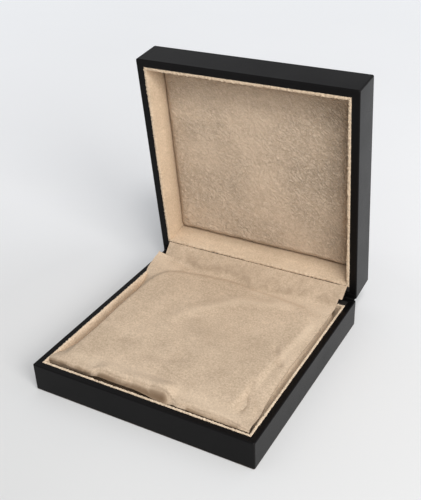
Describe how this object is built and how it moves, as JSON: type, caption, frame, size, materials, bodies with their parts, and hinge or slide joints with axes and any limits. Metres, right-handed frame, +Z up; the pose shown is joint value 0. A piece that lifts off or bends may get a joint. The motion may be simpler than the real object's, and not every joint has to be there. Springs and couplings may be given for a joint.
{
  "type": "necklace box",
  "caption": "Square hinged jewellery box, black leatherette outside and suede lined inside, with a loose suede flap over a necklace pad and a padded lid panel.",
  "frame": {"origin": "centre of the underside, on the felt the box stands on", "axes": "+X to the right across the hinge line, +Y to the back where the lid is hinged, +Z up"},
  "size_m": [0.2, 0.2301, 0.2274],
  "materials": {
    "leatherette_black": "smooth satin",
    "suede_beige": "short brushed nap",
    "board_wood": "sawn fibreboard",
    "rail_black": "black stained",
    "card_grey": "matt",
    "foam_cream": "open cell",
    "felt_black": "matt felt",
    "brass_hinge": "brushed",
    "steel_fastener": "brushed"
  },
  "bodies": {
    "base": {"base_front_wall": "board_wood", "base_back_wall": "board_wood", "base_left_wall": "board_wood", "base_right_wall": "board_wood", "base_bottom_board": "board_wood", "base_covering": "leatherette_black", "base_underside_felt": "felt_black", "base_hinge_rail": "rail_black", "base_floor_lining": "suede_beige", "base_card_front": "card_grey", "base_card_back": "card_grey", "base_card_left": "card_grey", "base_card_right": "card_grey", "base_lining_front": "suede_beige", "base_lining_back": "suede_beige", "base_lining_left": "suede_beige", "base_lining_right": "suede_beige", "pad_board": "card_grey", "pad_foam": "foam_cream", "pad_cover": "suede_beige", "hinge_apron": "suede_beige", "hinge_base_leaf_left": "brass_hinge", "hinge_base_leaf_right": "brass_hinge", "hinge_pin_left": "steel_fastener", "hinge_pin_right": "steel_fastener", "base_screw_1": "steel_fastener", "base_screw_2": "steel_fastener", "base_screw_3": "steel_fastener", "base_screw_4": "steel_fastener"},
    "flap": {"flap": "suede_beige"},
    "lid": {"lid_front_wall": "board_wood", "lid_back_wall": "board_wood", "lid_left_wall": "board_wood", "lid_right_wall": "board_wood", "lid_top_board": "board_wood", "lid_covering": "leatherette_black", "lid_hinge_rail": "rail_black", "lid_card_front": "card_grey", "lid_card_back": "card_grey", "lid_card_left": "card_grey", "lid_card_right": "card_grey", "lid_lining_front": "suede_beige", "lid_lining_back": "suede_beige", "lid_lining_left": "suede_beige", "lid_lining_right": "suede_beige", "panel_board": "card_grey", "panel_foam": "foam_cream", "panel_cover": "suede_beige", "hinge_lid_leaf_left": "brass_hinge", "hinge_lid_leaf_right": "brass_hinge", "lid_screw_1": "steel_fastener", "lid_screw_2": "steel_fastener", "lid_screw_3": "steel_fastener", "lid_screw_4": "steel_fastener"}
  },
  "joints": [
    {"name": "lid_hinge", "type": "hinge", "parent": "base", "child": "lid", "pos_m": [0, 0.1, 0.0254], "axis": [-1, 0, 0], "range_deg": [-84, 16], "deforming": ["hinge_apron"]},
    {"name": "flap_lift", "type": "hinge", "parent": "base", "child": "flap", "pos_m": [0, 0.0874, 0.0261], "axis": [-1, 0, 0], "range_deg": [0, 85], "deforming": ["flap"]}
  ]
}
